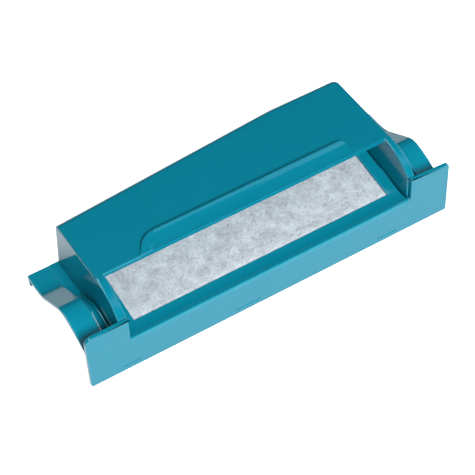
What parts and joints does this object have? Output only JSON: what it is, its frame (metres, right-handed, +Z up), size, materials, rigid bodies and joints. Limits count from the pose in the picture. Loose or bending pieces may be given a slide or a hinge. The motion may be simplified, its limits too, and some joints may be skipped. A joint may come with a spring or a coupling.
{
  "type": "chalkboard eraser",
  "caption": "Chalkboard eraser with a felt pad on a clip-in tray, a vented dust chamber with a fleece strip, and a hinged hood with a finger lip.",
  "frame": {"origin": "middle of the footprint, on the surface the felt rests on", "axes": "+X along the front plate to the right as seen from the front, +Y from the front plate to the hinge side, +Z up"},
  "size_m": [0.15, 0.0554, 0.0361],
  "materials": {
    "teal_plastic": "glossy moulded",
    "white_fleece": "non-woven fleece",
    "grey_felt": "pressed wool felt",
    "bright_steel": "drawn wire"
  },
  "bodies": {
    "pad": {"pad_tray": "teal_plastic", "felt_strip_1": "grey_felt", "felt_strip_2": "grey_felt", "felt_strip_3": "grey_felt", "felt_strip_4": "grey_felt", "felt_strip_5": "grey_felt"},
    "frame": {"frame_shell": "teal_plastic", "fleece_strip": "white_fleece", "fleece_grid": "teal_plastic", "hinge_pin_left": "bright_steel", "hinge_pin_right": "bright_steel"},
    "lid": {"lid_shell": "teal_plastic"}
  },
  "joints": [
    {"name": "tray_release", "type": "slide", "parent": "pad", "child": "frame", "axis": [0, 0, 1], "range_m": [0, 0.012]},
    {"name": "hood_hinge", "type": "hinge", "parent": "frame", "child": "lid", "pos_m": [0, 0.02535, 0.0054], "axis": [-1, 0, 0], "range_deg": [0, 95]}
  ]
}
